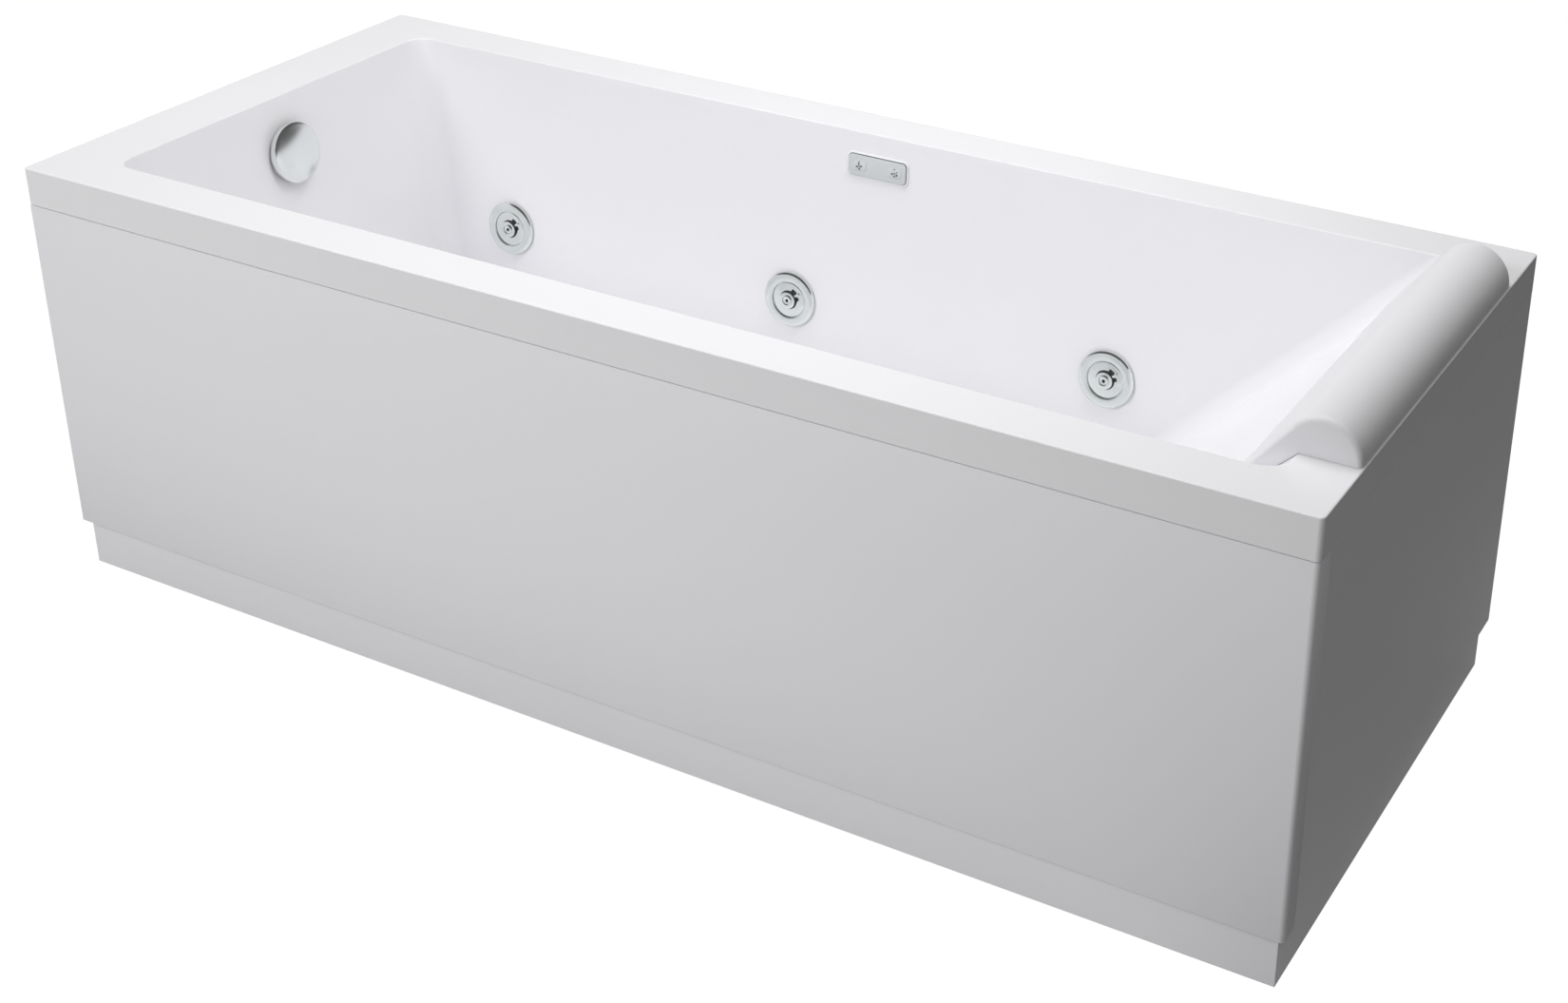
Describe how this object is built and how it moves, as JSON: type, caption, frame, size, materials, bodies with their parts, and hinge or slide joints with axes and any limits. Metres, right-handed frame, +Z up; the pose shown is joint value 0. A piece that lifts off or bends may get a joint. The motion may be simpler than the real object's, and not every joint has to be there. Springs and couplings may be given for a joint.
{
  "type": "jetted bathtub",
  "caption": "Rectangular jetted bathtub with turning wall jets, overflow control, touch pad, headrest cushion and clad frame.",
  "frame": {"origin": "on the floor under the middle of the tub", "axes": "+X to the head end with the headrest, -Y the panelled front, +Y the wall side, +Z up"},
  "size_m": [1.7, 0.7, 0.612],
  "materials": {
    "acrylic": "gloss",
    "board": "matte",
    "cable": "matte",
    "case": "matte",
    "chrome": "polished",
    "circuit": "satin",
    "clip_plastic": "matte",
    "foam": "satin",
    "frame_steel": "satin",
    "hose": "satin",
    "jet_chrome": "polished",
    "jet_plastic": "satin",
    "key": "satin",
    "keypad": "satin",
    "panel": "gloss",
    "pipe": "matte",
    "plinth": "satin",
    "pump_paint": "satin",
    "pump_plastic": "matte",
    "rotor": "satin",
    "seal": "matte",
    "zinc": "satin"
  },
  "bodies": {
    "tub": {"tub_shell": "acrylic", "front_panel": "panel", "head_end_panel": "panel", "foot_end_panel": "panel", "front_plinth": "plinth", "head_end_plinth": "plinth", "foot_end_plinth": "plinth", "base_board": "board", "frame_rails": "frame_steel", "cross_members": "frame_steel", "frame_posts": "frame_steel", "levelling_feet": "zinc", "foot_nuts": "zinc", "panel_clips": "clip_plastic", "rim_clips": "clip_plastic", "wall_brackets": "zinc", "water_pipe_front": "pipe", "water_pipe_back": "pipe", "air_pipes": "hose", "pump_motor": "pump_paint", "pump_volute": "pump_plastic", "pump_cradle": "zinc", "pump_shelf": "frame_steel", "suction_body": "jet_plastic", "suction_grille": "jet_chrome", "suction_hose": "hose", "keypad_plate": "keypad", "keypad_board": "circuit", "keypad_cable": "cable", "control_box": "case", "control_box_lid": "case", "mains_gland": "clip_plastic", "overflow_rosette": "chrome", "overflow_elbow": "jet_plastic", "overflow_hose": "hose", "control_cable": "cable", "waste_flange": "chrome", "waste_trap": "jet_plastic", "jet_rings": "jet_chrome", "jet_bodies": "jet_plastic", "jet_gaskets": "seal"},
    "rotor": {"pump_rotor": "rotor"},
    "left_key": {"key_left": "key"},
    "right_key": {"key_right": "key"},
    "knob": {"overflow_knob": "chrome"},
    "plug": {"waste_plug": "chrome"},
    "cushion": {"headrest": "foam"},
    "dial_1": {"jet_dial_1": "jet_chrome"},
    "nozzle_1": {"jet_nozzle_1": "jet_chrome"},
    "dial_2": {"jet_dial_2": "jet_chrome"},
    "nozzle_2": {"jet_nozzle_2": "jet_chrome"},
    "dial_3": {"jet_dial_3": "jet_chrome"},
    "nozzle_3": {"jet_nozzle_3": "jet_chrome"},
    "dial_4": {"jet_dial_4": "jet_chrome"},
    "nozzle_4": {"jet_nozzle_4": "jet_chrome"},
    "dial_5": {"jet_dial_5": "jet_chrome"},
    "nozzle_5": {"jet_nozzle_5": "jet_chrome"},
    "dial_6": {"jet_dial_6": "jet_chrome"},
    "nozzle_6": {"jet_nozzle_6": "jet_chrome"}
  },
  "joints": [
    {"name": "jet_1_turn", "type": "hinge", "parent": "tub", "child": "dial_1", "pos_m": [-0.596, 0.26153, 0.314], "axis": [0, -0.9957, 0.0924], "continuous": true},
    {"name": "jet_1_tilt", "type": "hinge", "parent": "dial_1", "child": "nozzle_1", "pos_m": [-0.596, 0.25799, 0.31433], "axis": [1, 0, 0], "range_deg": [-10, 10]},
    {"name": "jet_2_turn", "type": "hinge", "parent": "tub", "child": "dial_2", "pos_m": [-0.123, 0.26153, 0.314], "axis": [0, -0.9957, 0.0924], "continuous": true},
    {"name": "jet_2_tilt", "type": "hinge", "parent": "dial_2", "child": "nozzle_2", "pos_m": [-0.123, 0.25799, 0.31433], "axis": [1, 0, 0], "range_deg": [-10, 10]},
    {"name": "jet_3_turn", "type": "hinge", "parent": "tub", "child": "dial_3", "pos_m": [0.35, 0.26153, 0.314], "axis": [0, -0.9957, 0.0924], "continuous": true},
    {"name": "jet_3_tilt", "type": "hinge", "parent": "dial_3", "child": "nozzle_3", "pos_m": [0.35, 0.25799, 0.31433], "axis": [1, 0, 0], "range_deg": [-10, 10]},
    {"name": "jet_4_turn", "type": "hinge", "parent": "tub", "child": "dial_4", "pos_m": [-0.596, -0.26153, 0.314], "axis": [0, 0.9957, 0.0924], "continuous": true},
    {"name": "jet_4_tilt", "type": "hinge", "parent": "dial_4", "child": "nozzle_4", "pos_m": [-0.596, -0.25799, 0.31433], "axis": [-1, 0, 0], "range_deg": [-10, 10]},
    {"name": "jet_5_turn", "type": "hinge", "parent": "tub", "child": "dial_5", "pos_m": [-0.123, -0.26153, 0.314], "axis": [0, 0.9957, 0.0924], "continuous": true},
    {"name": "jet_5_tilt", "type": "hinge", "parent": "dial_5", "child": "nozzle_5", "pos_m": [-0.123, -0.25799, 0.31433], "axis": [-1, 0, 0], "range_deg": [-10, 10]},
    {"name": "jet_6_turn", "type": "hinge", "parent": "tub", "child": "dial_6", "pos_m": [0.35, -0.26153, 0.314], "axis": [0, 0.9957, 0.0924], "continuous": true},
    {"name": "jet_6_tilt", "type": "hinge", "parent": "dial_6", "child": "nozzle_6", "pos_m": [0.35, -0.25799, 0.31433], "axis": [-1, 0, 0], "range_deg": [-10, 10]},
    {"name": "pump_spin", "type": "hinge", "parent": "tub", "child": "rotor", "pos_m": [0.67, 0, 0.232], "axis": [0, 1, 0], "continuous": true},
    {"name": "key_left_press", "type": "slide", "parent": "tub", "child": "left_key", "axis": [0, 0.9957, -0.0924], "range_m": [0, 0.001], "stiffness_N_per_m": 600, "springref_m": -0.001},
    {"name": "key_right_press", "type": "slide", "parent": "tub", "child": "right_key", "axis": [0, 0.9957, -0.0924], "range_m": [0, 0.001], "stiffness_N_per_m": 600, "springref_m": -0.001},
    {"name": "overflow_turn", "type": "hinge", "parent": "tub", "child": "knob", "pos_m": [-0.74965, 0, 0.489], "axis": [0.9877, 0, 0.1564], "range_deg": [0, 90]},
    {"name": "plug_lift", "type": "slide", "parent": "tub", "child": "plug", "axis": [0, 0, 1], "range_m": [0, 0.012]},
    {"name": "headrest_lift", "type": "slide", "parent": "tub", "child": "cushion", "axis": [0, 0, 1], "range_m": [0, 0.12]}
  ],
  "couplings": [
    {"joint": "plug_lift", "follows": "overflow_turn", "m_per_rad": 0.007576}
  ]
}
